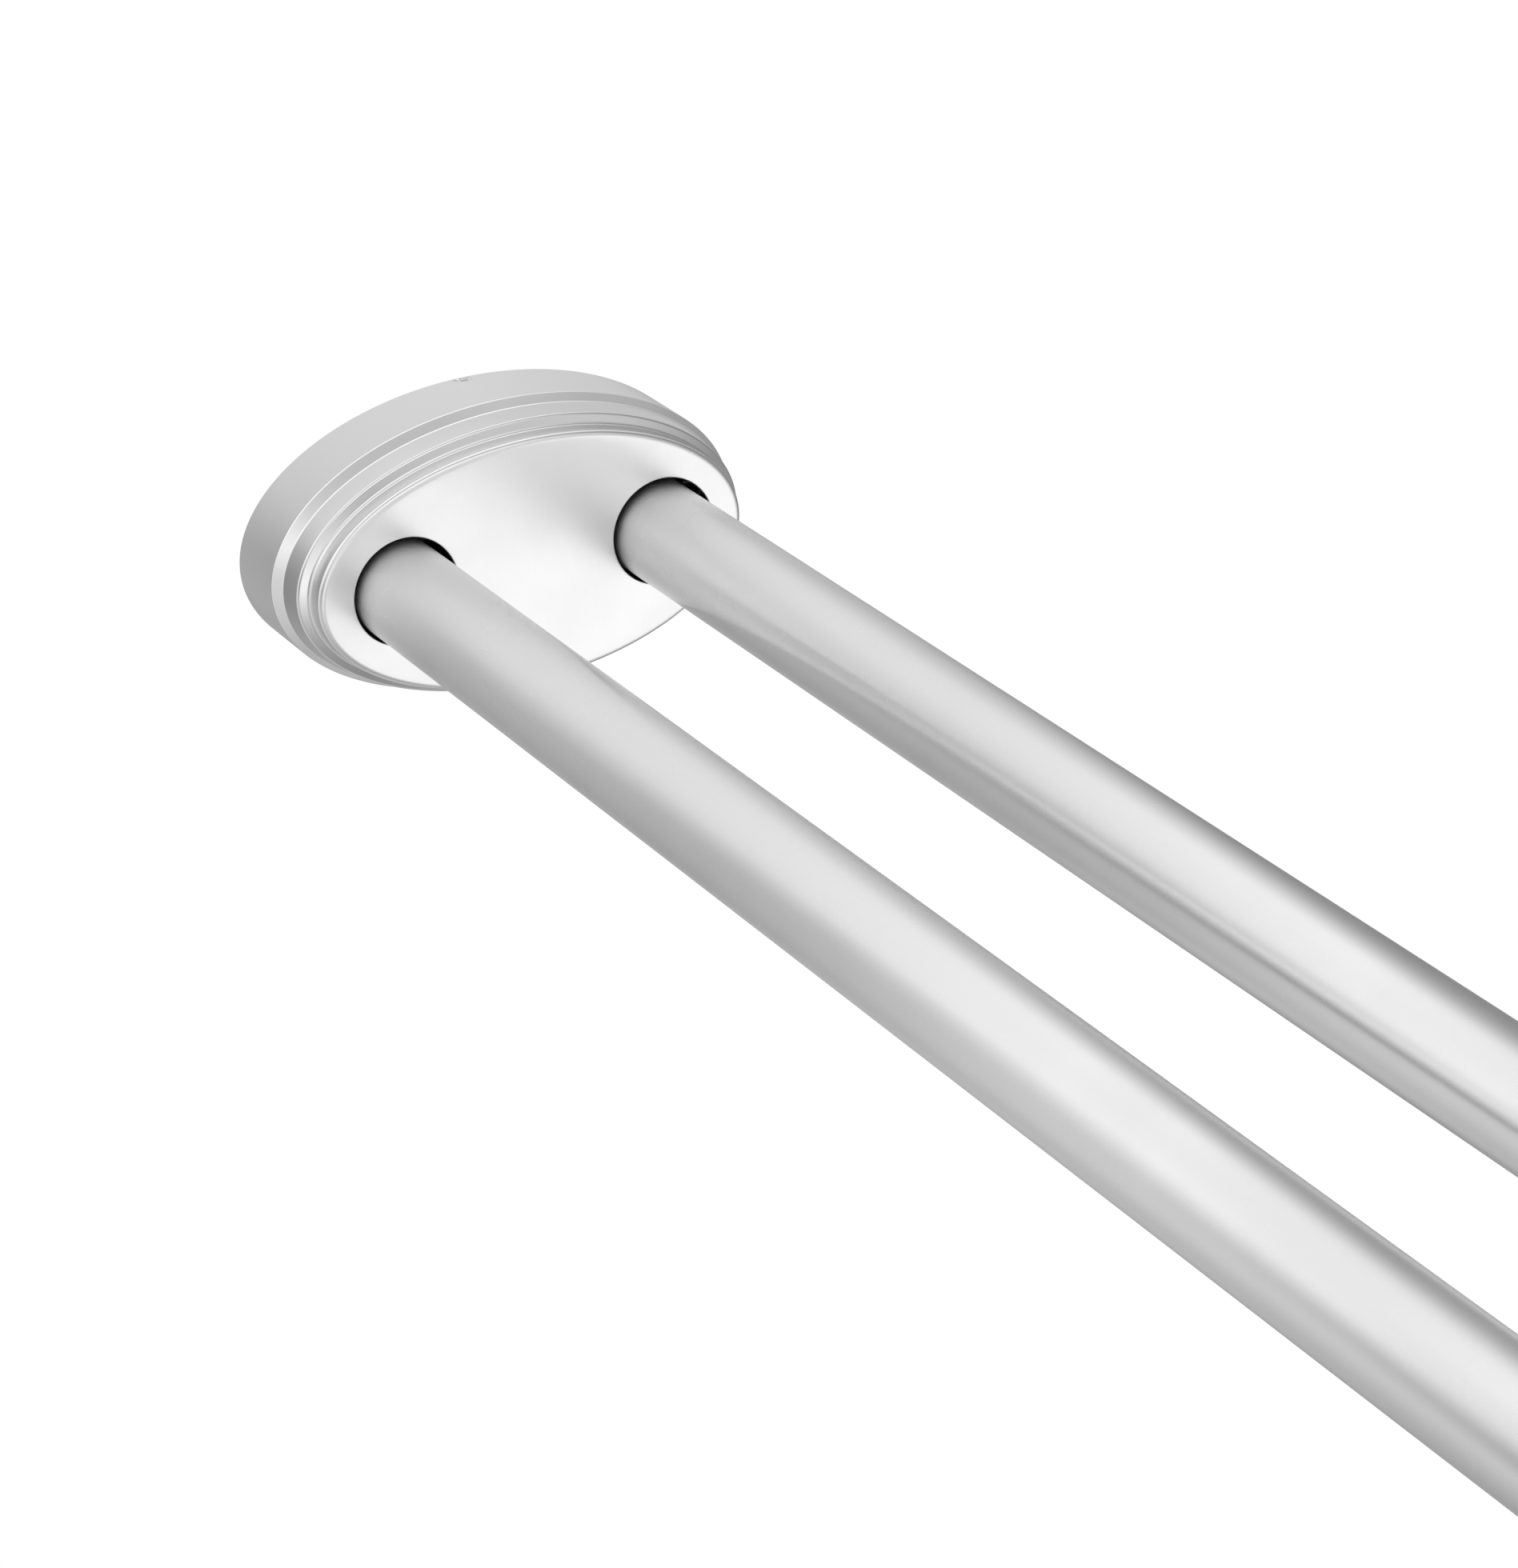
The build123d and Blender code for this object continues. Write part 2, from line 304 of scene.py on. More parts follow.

# %% [markdown]
# The pieces under the covers are plainer: the inside of the sheet, painted nearly black as painted
# shade for the dark hollow of the cover, a tumbled casting, zinc and black oxide on the screws, and
# grey plastic at the mouths of the tubes.

# %% Mix the finishes of the hidden pieces
# Painted shade: the cover's inside is a nearly black finish that stands for the shade inside the cover,
# not the sheet's own colour.
painted_shade_inside = grained_finish(
    "cover_inside_painted_shade",
    tones=(grey(0.02), grey(0.05)),
    roughness=(0.5, 0.6),
    lines=(900, 900, 900),
    clouds=80.0,
    line_height=0.002 * MM,
)
bracket_casting = grained_finish(
    "bracket_tumbled_casting",
    tones=((0.45, 0.45, 0.44), (0.6, 0.6, 0.59)),
    roughness=(0.42, 0.58),
    lines=(700, 700, 700),
    clouds=90.0,
    line_height=0.02 * MM,
)
screw_zinc = grained_finish(
    "screw_bright_zinc",
    tones=((0.6, 0.59, 0.55), (0.76, 0.75, 0.72)),
    roughness=(0.25, 0.38),
    lines=(1500, 400, 400),
    clouds=200.0,
    line_height=0.003 * MM,
)
screw_black = grained_finish(
    "set_screw_black_oxide",
    tones=((0.03, 0.03, 0.033), (0.08, 0.08, 0.085)),
    roughness=(0.38, 0.5),
    lines=(900, 900, 900),
    clouds=250.0,
    line_height=0.004 * MM,
)
grey_plastic = grained_finish(
    "bush_grey_plastic",
    tones=((0.52, 0.52, 0.51), (0.62, 0.62, 0.61)),
    roughness=(0.42, 0.55),
    lines=(1400, 1400, 1400),
    clouds=120.0,
    line_height=0.01 * MM,
    metallic=0.0,
)

# %% [markdown]
# ## The rods
#
# Each rod is a thin steel tube in another, so a tube is a flat wall section turned round the rod's
# axis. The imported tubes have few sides. Here the section is spun in many steps, so that the outline is
# round and the long bands of light run straight.

# %% Spin the tubes
TUBE_STEPS = 144
TUBE_EDGE_SEGMENTS = 2
RODS = ("curtain", "liner")
ROD_AXIS = (1, 0, 0)
NEARLY = 0.9
tube_wall = 0.8 * MM
tube_edge = 0.15 * MM
inner_tube_radius = 11.1 * MM


def spin_round(shape, section, centre, steps):
    """Turn a section all the way round the direction of the rods."""
    bmesh.ops.spin(
        shape,
        geom=section,
        cent=centre,
        axis=ROD_AXIS,
        angle=math.tau,
        steps=steps,
        use_merge=True,
    )


def round_edges(shape, edges, offset, segments):
    """Round off a set of edges."""
    bmesh.ops.bevel(
        shape,
        geom=edges,
        offset=offset,
        affect="EDGES",
        segments=segments,
        profile=0.5,
        material=-1,
    )


def make_tube(node, radius, axis_y):
    """A round tube that fills a CAD tube's place, with its four end edges taken off."""
    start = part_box(node)[0].x
    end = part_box(node)[1].x
    bore = radius - tube_wall
    shape = bmesh.new()
    corners = []
    for x, r in ((start, radius), (end, radius), (end, bore), (start, bore)):
        corners.append(shape.verts.new((x, axis_y, r)))
    section = [shape.edges.new(pair) for pair in zip(corners, corners[1:] + corners[:1])]
    spin_round(shape, corners + section, (0, axis_y, 0), TUBE_STEPS)
    rims = []
    for edge in shape.edges:
        along_rod = abs(edge.verts[0].co.x - edge.verts[1].co.x)
        # The edges round the rims are shorter than those across the wall
        if along_rod < SAME_POINT and edge.calc_length() < tube_wall * NEARLY:
            rims.append(edge)
    round_edges(shape, rims, tube_edge, TUBE_EDGE_SEGMENTS)
    finish_piece(node.replace("tube", "rod_tube"), shape, node, "satin_nickel", rod_nickel)


for rod in RODS:
    rail = mounts[f"{rod}_rail"]
    make_tube(f"{rod}_outer_tube", rail["dims"]["r_mm"] * MM, rail["pos_m"][1])
    make_tube(f"{rod}_inner_tube", inner_tube_radius, rail["pos_m"][1])

# %% [markdown]
# ## The flange covers
#
# A cover is pressed from one sheet: a tall skirt, two rounded steps and a flat face with two holes.
# Its rings are ovals that all have the same difference between width and height. So the wall's section
# is spun into a round cup first, and every point is then pushed sideways by the same amount, which
# turns circles into those ovals. The face is filled between the cup and the holes, the sheet gets its
# thickness, the dimples are pressed in, and the bends are rounded last with bevels.

# %% Cover sizes
COVER_STEPS = 256
HOLE_STEPS = 96
cover_low, cover_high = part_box("left_cover")
half_width = (cover_high.y - cover_low.y) / 2
half_height = (cover_high.z - cover_low.z) / 2
oval_push = half_width - half_height
cover_sheet = 1.0 * MM
face_margin = 3.0 * MM
hole_margin = 0.8 * MM
hole_clearance = 1.3 * MM
hole_shift = 0.6 * MM
hole_edge = 0.3 * MM

# Each step of the section: its rise from the wall, its inset, and the radius of the bend at its end
section_steps = (
    (20.0 * MM, 0.0, 1.0 * MM),
    (2.9 * MM, 1.8 * MM, 1.2 * MM),
    (6.8 * MM, 0.9 * MM, 1.0 * MM),
    (1.2 * MM, 2.7 * MM, 1.2 * MM),
    (6.1 * MM, 0.0, 1.6 * MM),
)
skirt_rise = section_steps[0][0]
rings = [(0.0, half_height)]
for rise, inset, _ in section_steps:
    rings.append((rings[-1][0] + rise, rings[-1][1] - inset))
cover_depth = rings[-1][0]
cover_size = (half_width * 2, half_height * 2, cover_depth)
print("cover", " x ".join(f"{size / MM:.1f}" for size in cover_size), "mm")

# %% [markdown]
# The spun section is a quick way to a cup, but the face has to have two round holes in it. So each hole
# starts as a circle, a narrow flat strip is extruded and shrunk from it, and the rest of the face is
# filled between the strips and the cup. The strips keep the filled triangles away from the hole's
# rounded edge.

# %% Spin the oval cup and fill its face
hole_places = [mounts[f"{rod}_rail"]["pos_m"][1] + hole_shift for rod in RODS]


def spin_cup():
    """The cover's outside as an open oval cup, its opening on the wall."""
    shape = bmesh.new()
    section = [shape.verts.new((x, 0, radius)) for x, radius in rings]
    section.append(shape.verts.new((cover_depth, 0, rings[-1][1] - face_margin)))
    runs = [shape.edges.new(pair) for pair in zip(section, section[1:])]
    spin_round(shape, section + runs, (0, 0, 0), COVER_STEPS)
    bmesh.ops.remove_doubles(shape, verts=shape.verts, dist=SAME_POINT)
    for vert in shape.verts:
        vert.co.y += oval_push * vert.co.y / math.hypot(vert.co.y, vert.co.z)
    return shape


def fill_face(shape, hole_radius):
    """Close the cup with a flat face that has a hole for each rod."""
    borders = [edge for edge in shape.edges if edge.is_boundary]
    borders = [edge for edge in borders if edge.verts[0].co.x > cover_depth / 2]
    strip_radius = hole_radius + hole_margin
    shrink = (1, hole_radius / strip_radius, hole_radius / strip_radius)
    for hole_y in hole_places:
        centre = Vector((cover_depth, hole_y, 0))
        place = Matrix.Translation(centre) @ Matrix.Rotation(math.pi / 2, 4, "Y")
        circle = bmesh.ops.create_circle(
            shape, segments=HOLE_STEPS, radius=strip_radius, matrix=place
        )
        strip_border = list({edge for vert in circle["verts"] for edge in vert.link_edges})
        borders += strip_border
        strip = bmesh.ops.extrude_edge_only(shape, edges=strip_border)["geom"]
        hole_verts = [item for item in strip if isinstance(item, bmesh.types.BMVert)]
        to_centre = Matrix.Translation(-centre)
        bmesh.ops.scale(shape, vec=shrink, verts=hole_verts, space=to_centre)
    bmesh.ops.triangle_fill(shape, use_beauty=True, edges=borders, normal=ROD_AXIS)
    bmesh.ops.recalc_face_normals(shape, faces=shape.faces)
    front = max(shape.faces, key=lambda face: face.calc_center_median().x)
    if front.normal.x < 0:
        bmesh.ops.reverse_faces(shape, faces=shape.faces)


print("cup section:", len(rings), "rings, holes at", [round(y / MM, 1) for y in hole_places], "mm")

# %% [markdown]
# A small dimple is pressed into the skirt, near the wall, at the top and the bottom. It catches a notch
# of the bracket and keeps the cover on. The sheet has its thickness by then, so only its outside is
# chosen. Four cuts draw the dimple's outline there, an inset presses it in a little, and its floor is
# then turned about one end, because the punch goes deeper at the other.

# %% Press the dimples
dimple_near, dimple_far = 0.8 * MM, 3.4 * MM
dimple_left, dimple_right = -2.6 * MM, 1.85 * MM
dimple_width = dimple_right - dimple_left
dimple_slope = 0.25 * MM
dimple_shallow = 0.1 * MM
dimple_deep = 0.55 * MM
dimple_tilt = math.atan(dimple_deep / dimple_width)
dimple_cuts = (
    ((dimple_near, 0, 0), (1, 0, 0)),
    ((dimple_far, 0, 0), (1, 0, 0)),
    ((0, dimple_left, 0), (0, 1, 0)),
    ((0, dimple_right, 0), (0, 1, 0)),
)


def skirt_faces(shape, up):
    """The faces on the outside of the skirt, about its top (up = 1) or bottom (up = -1)."""
    chosen = []
    for face in shape.faces:
        middle = face.calc_center_median()
        outside = middle.z * up > half_height * NEARLY and face.normal.z * up > NEARLY
        if outside and abs(middle.y) < dimple_width and middle.x < skirt_rise:
            chosen.append(face)
    return chosen


def press_dimple(shape, up):
    """Press one dimple into the skirt's top (up = 1) or bottom (up = -1)."""
    for place, normal in dimple_cuts:
        skirt = skirt_faces(shape, up)
        around = {item for face in skirt for item in (*face.edges, *face.verts)}
        cut = skirt + list(around)
        bmesh.ops.bisect_plane(shape, geom=cut, dist=SAME_POINT, plane_co=place, plane_no=normal)
    inside = []
    for face in skirt_faces(shape, up):
        middle = face.calc_center_median()
        if dimple_near < middle.x < dimple_far and dimple_left < middle.y < dimple_right:
            inside.append(face)
    bmesh.ops.inset_region(
        shape, faces=inside, thickness=dimple_slope, depth=-dimple_shallow, use_even_offset=True
    )
    bmesh.ops.rotate(
        shape,
        verts=list({vert for face in inside for vert in face.verts}),
        cent=(0, dimple_left, half_height * up),
        matrix=Matrix.Rotation(-up * dimple_tilt, 3, "X"),
    )


print(f"dimple {dimple_width / MM:.2f} mm wide, {(dimple_shallow + dimple_deep) / MM:.2f} mm deep")

# %% [markdown]
# The sheet gets its thickness from solidify, which keeps the outside in place and adds an inside. The
# bends are still sharp then, so each ring of edges is bevelled. A bend of radius R that turns by an
# angle reaches R tan(angle / 2) along both sides, and that is the bevel's offset.

# %% Round the bends, the holes and the rim
BEND_SEGMENTS = 6
HOLE_EDGE_SEGMENTS = 4
SHARP_CORNER = math.radians(60)
JOINED = 1e-6
ring_tolerance = 0.01


def on_ring(vert, x, radius):
    """Whether a point is on the outside's ring at that rise and ring radius."""
    if abs(vert.co.x - x) > JOINED:
        return False
    reach = (vert.co.y / (radius + oval_push)) ** 2 + (vert.co.z / radius) ** 2
    return abs(reach - 1) < ring_tolerance


def round_bends(shape):
    """Bevel every ring of the outside with its own bend radius."""
    for number, (_, _, bend) in enumerate(section_steps, start=1):
        x, radius = rings[number]
        after = rings[number + 1] if number + 1 < len(rings) else (x, 0.0)
        run_before = Vector(rings[number]) - Vector(rings[number - 1])
        run_after = Vector(after) - Vector(rings[number])
        reach = bend * math.tan(run_before.angle(run_after) / 2)
        ring = []
        for edge in shape.edges:
            if all(on_ring(vert, x, radius) for vert in edge.verts):
                ring.append(edge)
        round_edges(shape, ring, reach, BEND_SEGMENTS)


def round_holes(shape, hole_radius):
    """Take the sharp corner off each hole, in front and behind, and off the skirt's rim."""
    corners = []
    for edge in shape.edges:
        if edge.calc_face_angle(0) <= SHARP_CORNER:
            continue
        middle = (edge.verts[0].co + edge.verts[1].co) / 2
        from_holes = [math.hypot(middle.y - hole_y, middle.z) for hole_y in hole_places]
        at_hole = any(abs(away - hole_radius) < hole_edge / 2 for away in from_holes)
        if at_hole or middle.x < SAME_POINT:
            corners.append(edge)
    round_edges(shape, corners, hole_edge, HOLE_EDGE_SEGMENTS)


print("bends of", [round(bend / MM, 1) for _, _, bend in section_steps], "mm")

# %% [markdown]
# Both covers are made at the left wall, and the right one is then mirrored to its own wall. Its holes
# are smaller, because the thinner inner tubes go through them. Each cover has three finishes: satin
# sides, an inside painted nearly black as painted shade, and a brushed face.

# %% Make both covers
SIDE_FINISH, INSIDE_PAINTED_SHADE, FACE_FINISH = range(3)
outer_tube_radius = mounts["curtain_rail"]["dims"]["r_mm"] * MM


def make_cover(node, tube_radius, name):
    """A whole cover on the left wall's side, turned to the right wall where its node is there."""
    hole_radius = tube_radius + hole_clearance
    shape = spin_cup()
    fill_face(shape, hole_radius)
    for face in shape.faces:
        at_front = face.calc_center_median().x > cover_depth - SAME_POINT
        face.material_index = FACE_FINISH if at_front else SIDE_FINISH
    inner = bmesh.ops.solidify(shape, geom=shape.faces, thickness=cover_sheet)["geom"]
    # The inside faces take the painted shade, a nearly black finish.
    for item in inner:
        if isinstance(item, bmesh.types.BMFace):
            item.material_index = INSIDE_PAINTED_SHADE
    bmesh.ops.recalc_face_normals(shape, faces=shape.faces)
    for up in (1, -1):
        press_dimple(shape, up)
    round_bends(shape)
    round_holes(shape, hole_radius)
    if node == "right_cover":
        bmesh.ops.scale(shape, vec=(-1, 1, 1), verts=shape.verts)
        bmesh.ops.translate(shape, vec=(right_end.x, 0, 0), verts=shape.verts)
    finishes = (cover_nickel, painted_shade_inside, face_nickel)
    keep_flat(finish_piece(name, shape, node, "satin_nickel", *finishes))


make_cover("left_cover", outer_tube_radius, "left_flange_cover")
make_cover("right_cover", inner_tube_radius, "right_flange_cover")

# %% [markdown]
# ## The hidden pieces
#
# Under each cover, a cast bracket holds the rods with set screws. The guide bush closes the mouth of
# each outer tube, and a glide keeps the inner tube centred. Their CAD meshes already have the right
# form. A merged copy can be shaded smoothly, which loose triangles can't.

# %% Copy and smooth the castings and mouldings
def merged_copy(node):
    """A copy of a CAD node's mesh, with its loose triangles joined."""
    shape = bmesh.new()
    shape.from_mesh(frame["nodes"][node].data)
    bmesh.ops.remove_doubles(shape, verts=shape.verts, dist=JOINED)
    return shape


def smooth_copy(node, slot, material):
    """A piece that is a smooth-shaded copy of a CAD node."""
    keep_flat(finish_piece(f"{node}_body", merged_copy(node), node, slot, material))


for side in ("left", "right"):
    smooth_copy(f"{side}_bracket", "bracket_casting", bracket_casting)
    smooth_copy(f"{side}_set_screws", "set_screw_steel", screw_black)
for rod in RODS:
    smooth_copy(f"{rod}_guide_bush", "grey_plastic", grey_plastic)
    smooth_copy(f"{rod}_inner_glide", "grey_plastic", grey_plastic)

# %% [markdown]
# ## The wall screws
#
# The CAD screws are plain shanks, as thick as the thread is. Each shank is slimmed to its core. A thread
# is a small three-sided ridge that climbs the core, so a triangle is spun round the screw and moved a
# little along it at each step. It stops where the tip begins.

# %% Wind the threads
THREAD_STEPS = 20
thread_pitch = 1.8 * MM
thread_half_base = 0.5 * MM
thread_radius = mounts["left_wall"]["dims"]["stud_r_mm"] * MM
core_radius = 1.65 * MM
core_overlap = 0.05 * MM
shank_tolerance = 0.02 * MM
tip_length = 5.0 * MM


def slim_shank(shape, start):
    """Bring the shank of the screw at start down to the core between the threads."""
    shank = []
    for vert in shape.verts:
        if abs((vert.co - start).yz.length - thread_radius) < shank_tolerance:
            shank.append(vert)
    slim = core_radius / thread_radius
    to_axis = Matrix.Translation(-start)
    bmesh.ops.scale(shape, vec=(1, slim, slim), verts=shank, space=to_axis)


def wind_thread(shape, start, outwards, length):
    """Wind a closed ridge round a shank that runs from start along X, outwards being -1 or 1."""
    turns = int((length - thread_pitch) / thread_pitch)
    foot = core_radius - core_overlap
    ridge = ((-thread_half_base, foot), (0.0, thread_radius), (thread_half_base, foot))
    corners = []
    for along_screw, out in ridge:
        offset = Vector((outwards * (thread_pitch / 2 + along_screw), 0, out))
        corners.append(shape.verts.new(start + offset))
    end_cap = shape.faces.new(corners)
    bmesh.ops.spin(
        shape,
        geom=[end_cap],
        cent=start,
        axis=ROD_AXIS,
        dvec=(outwards * thread_pitch / THREAD_STEPS, 0, 0),
        angle=math.tau * turns,
        steps=THREAD_STEPS * turns,
    )


def make_wall_screws(side, outwards):
    """The four screws of one flange, with their threads."""
    node = f"{side}_wall_screws"
    mount = mounts[f"{side}_wall"]
    wall = Vector(mount["pos_m"])
    low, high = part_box(node)
    length = wall.x - low.x if outwards < 0 else high.x - wall.x
    shape = merged_copy(node)
    spacing_y = mount["dims"]["spacing_x_mm"] * MM
    spacing_z = mount["dims"]["spacing_y_mm"] * MM
    for across in (-0.5, 0.5):
        for up in (-0.5, 0.5):
            start = wall + Vector((0, across * spacing_y, up * spacing_z))
            slim_shank(shape, start)
            wind_thread(shape, start, outwards, length - tip_length)
    finish_piece(f"{side}_threaded_screws", shape, node, "screw_steel", screw_zinc)


make_wall_screws("left", -1)
make_wall_screws("right", 1)

# %% [markdown]
# ## The floor
#
# The object is shown on white. The floor is a wide pale disc well below the rods, so that it only
# takes a soft shadow.

# %% Lay the floor
floor_drop = 0.45
floor_radius = 14.0
floor_sides = 128
floor_centre = Vector((rod_span / 2, 0, -floor_drop))
floor_shape = bmesh.new()
bmesh.ops.create_circle(
    floor_shape,
    cap_ends=True,
    segments=floor_sides,
    radius=floor_radius,
    matrix=Matrix.Translation(floor_centre),
)
floor_mesh = mesh_of("studio_floor", floor_shape)
floor = place_object("studio_floor", floor_mesh)
print(f"floor {floor_drop:.2f} m below the rods")

# %% [markdown]
# The white comes from the floor's material, not from more light on the object. Rays from the camera,
# and rays that metal reflects, see most of it as plain white, and the rest is pale paint that keeps
# the shadow. From below it is clear, so that the underside can be looked at too.

# %% Paint the floor
floor_grey = 0.97
floor_white_share = 0.9


def bare_material(name):
    """A material with an empty node tree."""
    material = bpy.data.materials.new(name)
    material.use_nodes = True
    material.node_tree.nodes.clear()
    return material


def white_to_sight(tree):
    """1 for rays from the camera, from gloss and through glass, and 0 for scattered light."""
    path = add_node(tree, "ShaderNodeLightPath")
    first = add_node(tree, "ShaderNodeMath", operation="MAXIMUM")
    second = add_node(tree, "ShaderNodeMath", operation="MAXIMUM")
    tree.links.new(path.outputs["Is Camera Ray"], first.inputs[0])
    tree.links.new(path.outputs["Is Glossy Ray"], first.inputs[1])
    tree.links.new(first.outputs["Value"], second.inputs[0])
    tree.links.new(path.outputs["Is Transmission Ray"], second.inputs[1])
    return second.outputs["Value"]


floor_material = bare_material("studio_floor_white")
floor_tree = floor_material.node_tree
floor_paint = add_node(floor_tree, "ShaderNodeBsdfDiffuse", {"Color": (*grey(floor_grey), 1.0)})
floor_white = add_node(floor_tree, "ShaderNodeEmission")
floor_share = add_node(floor_tree, "ShaderNodeMath", {1: floor_white_share}, operation="MULTIPLY")
floor_top = add_node(floor_tree, "ShaderNodeMixShader")
floor_clear = add_node(floor_tree, "ShaderNodeBsdfTransparent")
floor_side = add_node(floor_tree, "ShaderNodeNewGeometry")
floor_both = add_node(floor_tree, "ShaderNodeMixShader")
floor_end = add_node(floor_tree, "ShaderNodeOutputMaterial")
floor_tree.links.new(white_to_sight(floor_tree), floor_share.inputs[0])
floor_tree.links.new(floor_share.outputs["Value"], floor_top.inputs["Fac"])
floor_tree.links.new(floor_paint.outputs["BSDF"], floor_top.inputs[1])
floor_tree.links.new(floor_white.outputs["Emission"], floor_top.inputs[2])
floor_tree.links.new(floor_side.outputs["Backfacing"], floor_both.inputs["Fac"])
floor_tree.links.new(floor_top.outputs["Shader"], floor_both.inputs[1])
floor_tree.links.new(floor_clear.outputs["BSDF"], floor_both.inputs[2])
floor_tree.links.new(floor_both.outputs["Shader"], floor_end.inputs["Surface"])
floor_mesh.materials.append(floor_material)
print(f"floor {floor_white_share:.0%} plain white to sight")

# %% [markdown]
# ## The light tent
#
# Satin metal only looks like metal when it has something graded to reflect. A product photographer
# hangs white and grey cloth round the piece for that. Here a large tube of cloth runs along the rods,
# and only reflections see it.

# %% Hang the tent
tent_radius = 0.42
tent_reach = 1.5
tent_sides = 96
tent_length = rod_span + 2 * tent_reach
across_the_rods = Matrix.Rotation(math.pi / 2, 4, "Y")
tent_shape = bmesh.new()
tent_ring = bmesh.ops.create_circle(
    tent_shape, segments=tent_sides, radius=tent_radius, matrix=across_the_rods
)
tent_edges = list({edge for vert in tent_ring["verts"] for edge in vert.link_edges})
bmesh.ops.translate(tent_shape, vec=(-tent_reach, 0, 0), verts=tent_shape.verts)
tent_wall = bmesh.ops.extrude_edge_only(tent_shape, edges=tent_edges)["geom"]
tent_far = [item for item in tent_wall if isinstance(item, bmesh.types.BMVert)]
bmesh.ops.translate(tent_shape, vec=(tent_length, 0, 0), verts=tent_far)
tent_mesh = mesh_of("light_tent", tent_shape)
tent = place_object("light_tent", tent_mesh)
for hidden_from in ("camera", "diffuse", "transmission", "shadow", "volume_scatter"):
    setattr(tent, f"visible_{hidden_from}", False)
print(f"tent {tent_radius * 2:.2f} m across, {tent_length:.2f} m long")

# %% [markdown]
# Bright panels and grey ones hang in turn round the rods, and they change along them, because each
# surface looks at another part of the tent: the rods show the panels as long bands, the steps of the
# flange look back past the wall, and its face looks along the rods at the middle. Each ramp gives the
# brightness all round at one distance from the nearer wall, from straight down (0), past the room side
# (0.25), the top (0.5) and the far side (0.75), back to straight down (1).

# %% Choose the greys of the cloth
past_the_wall = (
    (0.0, 0.4), (0.06, 0.47), (0.25, 0.58), (0.34, 0.66), (0.45, 0.75), (0.62, 0.82),
    (0.75, 0.7), (0.82, 0.5), (1.0, 0.4),
)
behind_the_wall = (
    (0.0, 0.35), (0.12, 0.28), (0.25, 0.1), (0.31, 0.22), (0.38, 0.55), (0.5, 0.68),
    (0.69, 0.6), (0.75, 0.6), (0.82, 0.35), (1.0, 0.35),
)
behind_the_flange = (
    (0.0, 0.6), (0.06, 0.5), (0.13, 0.7), (0.3, 1.0), (0.34, 1.45), (0.56, 1.45),
    (0.62, 0.95), (0.69, 0.5), (0.82, 0.15), (0.88, 0.15), (1.0, 0.6),
)
at_the_flange = (
    (0.0, 0.55), (0.06, 0.5), (0.25, 0.8), (0.31, 1.15), (0.38, 0.7), (0.44, 0.48),
    (0.56, 0.45), (0.62, 0.25), (0.88, 0.2), (0.94, 0.3), (1.0, 0.55),
)
before_the_flange = (
    (0.0, 0.25), (0.19, 0.5), (0.25, 0.15), (0.31, 0.5), (0.43, 1.25), (0.5, 1.25),
    (0.62, 0.6), (0.69, 0.35), (0.75, 0.3), (0.88, 0.9), (1.0, 0.25),
)
in_the_middle = (
    (0.0, 0.55), (0.06, 0.6), (0.19, 1.25), (0.31, 1.25), (0.44, 0.1), (0.56, 0.65),
    (0.62, 0.6), (0.69, 1.2), (0.88, 1.35), (0.94, 1.2), (1.0, 0.55),
)
cloth_grades = (
    (-0.7, past_the_wall),
    (-0.38, behind_the_wall),
    (-0.18, behind_the_flange),
    (0.03, at_the_flange),
    (0.22, before_the_flange),
    (0.72, in_the_middle),
)
print("cloth graded at", [distance for distance, _ in cloth_grades], "m from the nearer wall")

# %% [markdown]
# A ramp needs the direction round the rods, which is the angle of Y and Z. The blend between two ramps
# needs the distance from the nearer wall, which is the lesser of two distances along X.

# %% Measure the place on the cloth
tent_material = bare_material("tent_cloth")
tent_tree = tent_material.node_tree
half_turns = {"From Min": -math.pi, "From Max": math.pi}
tent_place = add_node(tent_tree, "ShaderNodeTexCoord")
tent_axes = add_node(tent_tree, "ShaderNodeSeparateXYZ")
tent_angle = add_node(tent_tree, "ShaderNodeMath", operation="ARCTAN2")
tent_turn = add_node(tent_tree, "ShaderNodeMapRange", half_turns)
from_right = add_node(tent_tree, "ShaderNodeMath", {0: rod_span}, operation="SUBTRACT")
from_nearer = add_node(tent_tree, "ShaderNodeMath", operation="MINIMUM")
tent_tree.links.new(tent_place.outputs["Object"], tent_axes.inputs["Vector"])
tent_tree.links.new(tent_axes.outputs["Y"], tent_angle.inputs[0])
tent_tree.links.new(tent_axes.outputs["Z"], tent_angle.inputs[1])
tent_tree.links.new(tent_angle.outputs["Value"], tent_turn.inputs["Value"])
tent_tree.links.new(tent_axes.outputs["X"], from_right.inputs[1])
tent_tree.links.new(tent_axes.outputs["X"], from_nearer.inputs[0])
tent_tree.links.new(from_right.outputs["Value"], from_nearer.inputs[1])
print("tent cloth:", len(tent_tree.nodes), "nodes to find a place")

# %% [markdown]
# Each ramp turns the direction into a grey. Along the rods, the ramps are mixed one after another,
# each by its share of the way from one distance to the next. The last mix is the cloth's own glow, so
# no lamp is needed to light it.

# %% Blend the greys along the rods
def grey_ramp(stops):
    """A ramp of greys round the rods."""
    ramp = add_node(tent_tree, "ShaderNodeValToRGB")
    while len(ramp.color_ramp.elements) < len(stops):
        ramp.color_ramp.elements.new(1.0)
    for element, (position, level) in zip(ramp.color_ramp.elements, stops):
        element.position = position
        element.color = (*grey(level), 1.0)
    tent_tree.links.new(tent_turn.outputs["Result"], ramp.inputs["Fac"])
    return ramp.outputs["Color"]


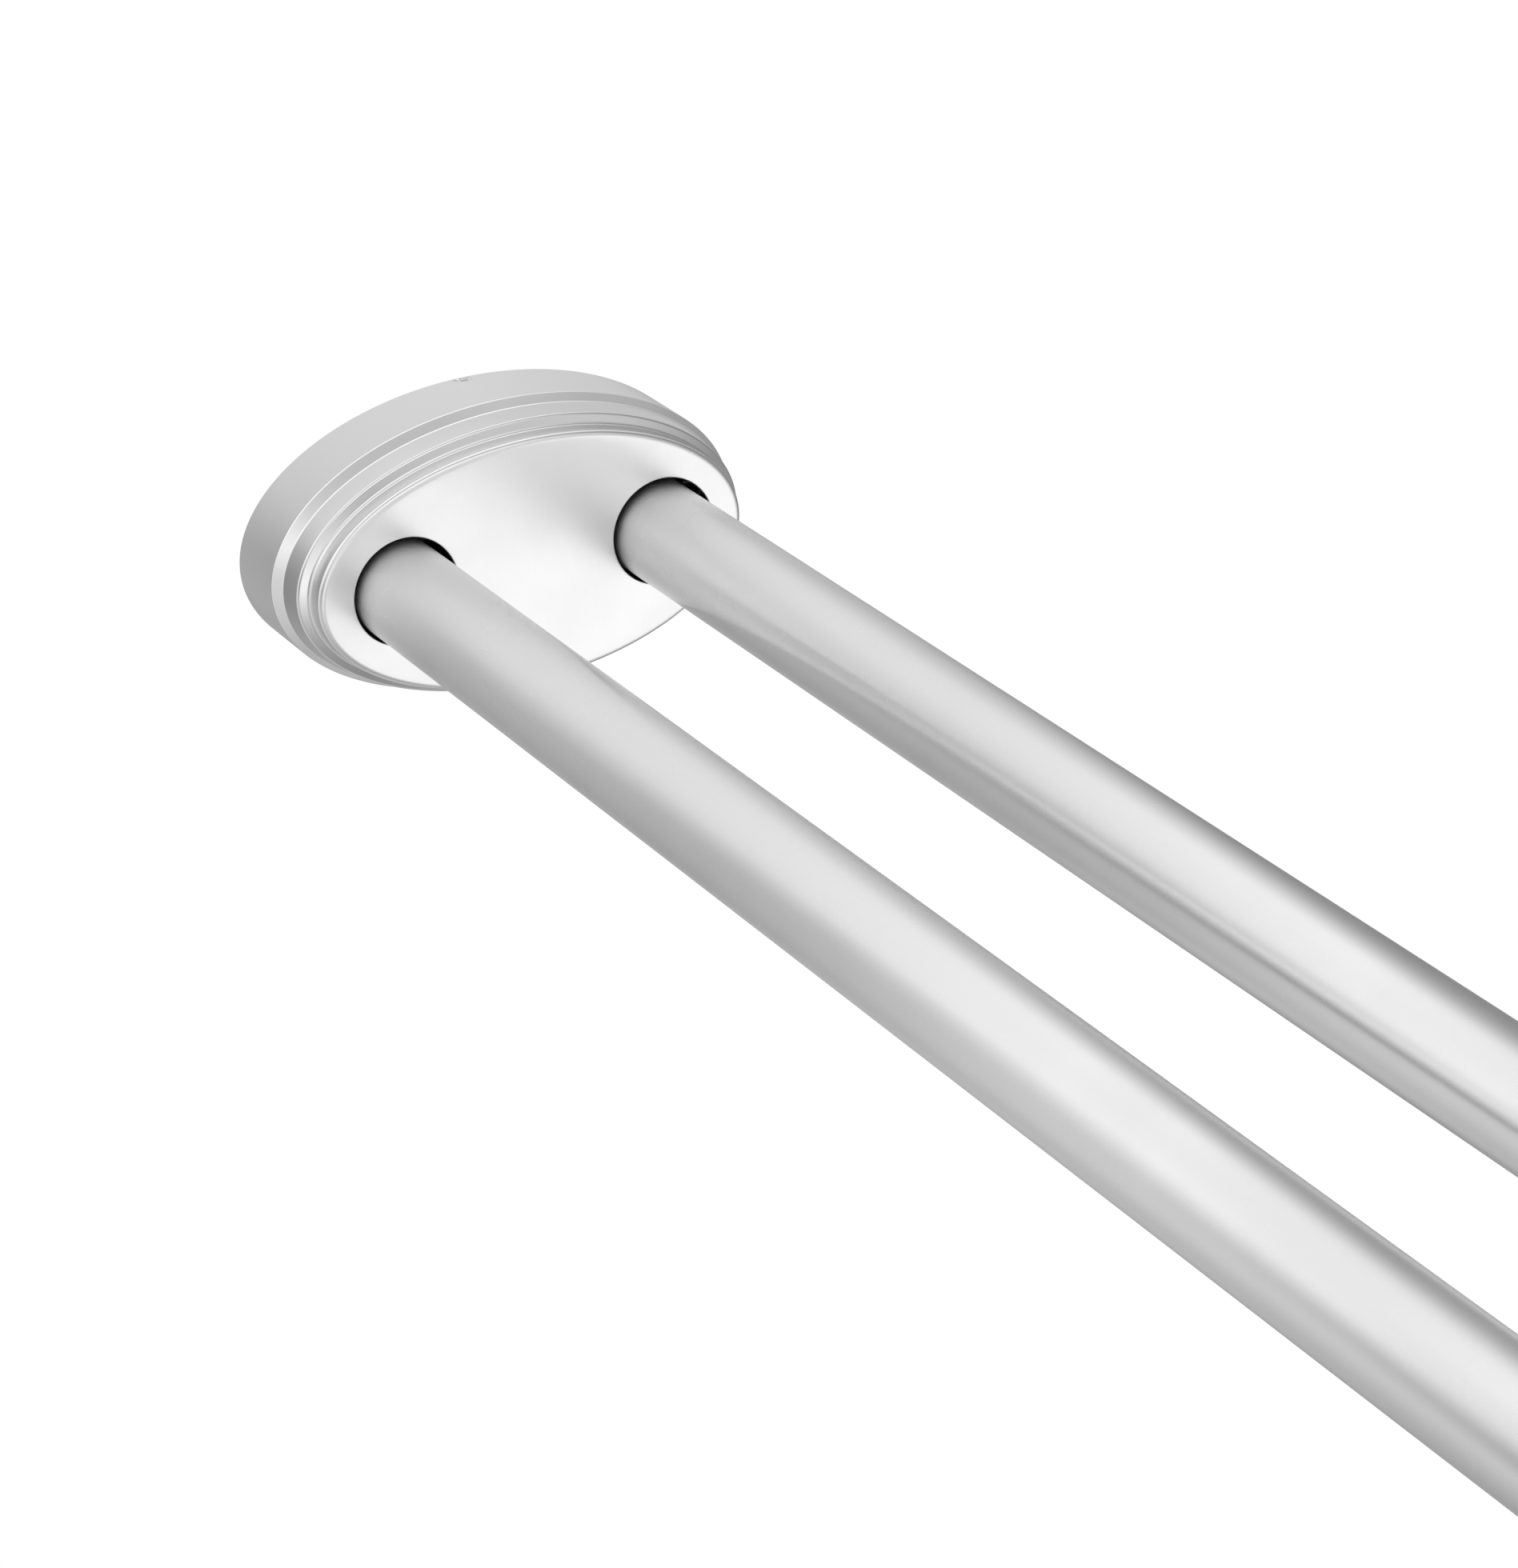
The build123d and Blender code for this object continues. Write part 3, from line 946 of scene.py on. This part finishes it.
def share_between(start, end):
    """A share that goes from 0 to 1 between two distances from the nearer wall."""
    share = add_node(tent_tree, "ShaderNodeMapRange", {"From Min": start, "From Max": end})
    tent_tree.links.new(from_nearer.outputs["Value"], share.inputs["Value"])
    return share.outputs["Result"]


def blend_greys(share, first, second):
    """Mix two grey ramps by a share."""
    mix = add_node(tent_tree, "ShaderNodeMix", data_type="RGBA")
    tent_tree.links.new(share, mix.inputs["Factor"])
    tent_tree.links.new(first, mix.inputs["A"])
    tent_tree.links.new(second, mix.inputs["B"])
    return mix.outputs["Result"]


cloth = grey_ramp(past_the_wall)
for (start, _), (end, stops) in zip(cloth_grades, cloth_grades[1:]):
    cloth = blend_greys(share_between(start, end), cloth, grey_ramp(stops))
tent_glow = add_node(tent_tree, "ShaderNodeEmission")
tent_end = add_node(tent_tree, "ShaderNodeOutputMaterial")
tent_tree.links.new(cloth, tent_glow.inputs["Color"])
tent_tree.links.new(tent_glow.outputs["Emission"], tent_end.inputs["Surface"])
tent_mesh.materials.append(tent_material)
print("tent cloth:", len(tent_tree.nodes), "nodes in all")

# %% [markdown]
# ## The lamp and the world
#
# A white world gives nearly all the light, at a level at which a colour looks as it is written. One
# wide, weak lamp overhead adds a little direction and a soft shadow on the plastic pieces and the
# floor. The metals already have the tent, so they don't reflect the lamp.

# %% Light the studio
lamp_width, lamp_depth = 3.0, 2.0
lamp_power = 10.0
lamp_place = (rod_span / 2, -0.4, 2.4)
lamp_tilt = math.radians(10)
world_level = 1.0

lamp_data = bpy.data.lights.new("overhead_softbox", "AREA")
lamp_data.shape = "RECTANGLE"
lamp_data.size = lamp_width
lamp_data.size_y = lamp_depth
lamp_data.energy = lamp_power
lamp = place_object("overhead_softbox", lamp_data)
lamp.location = lamp_place
lamp.rotation_euler = (lamp_tilt, 0, 0)
lamp.visible_glossy = False

world = bpy.data.worlds.new("white_studio")
bpy.context.scene.world = world
world.use_nodes = True
sky = world.node_tree.nodes["Background"]
sky.inputs["Color"].default_value = (*grey(1.0), 1.0)
sky.inputs["Strength"].default_value = world_level
print(f"lamp {lamp_power:.0f} W, world {world_level:.1f}")
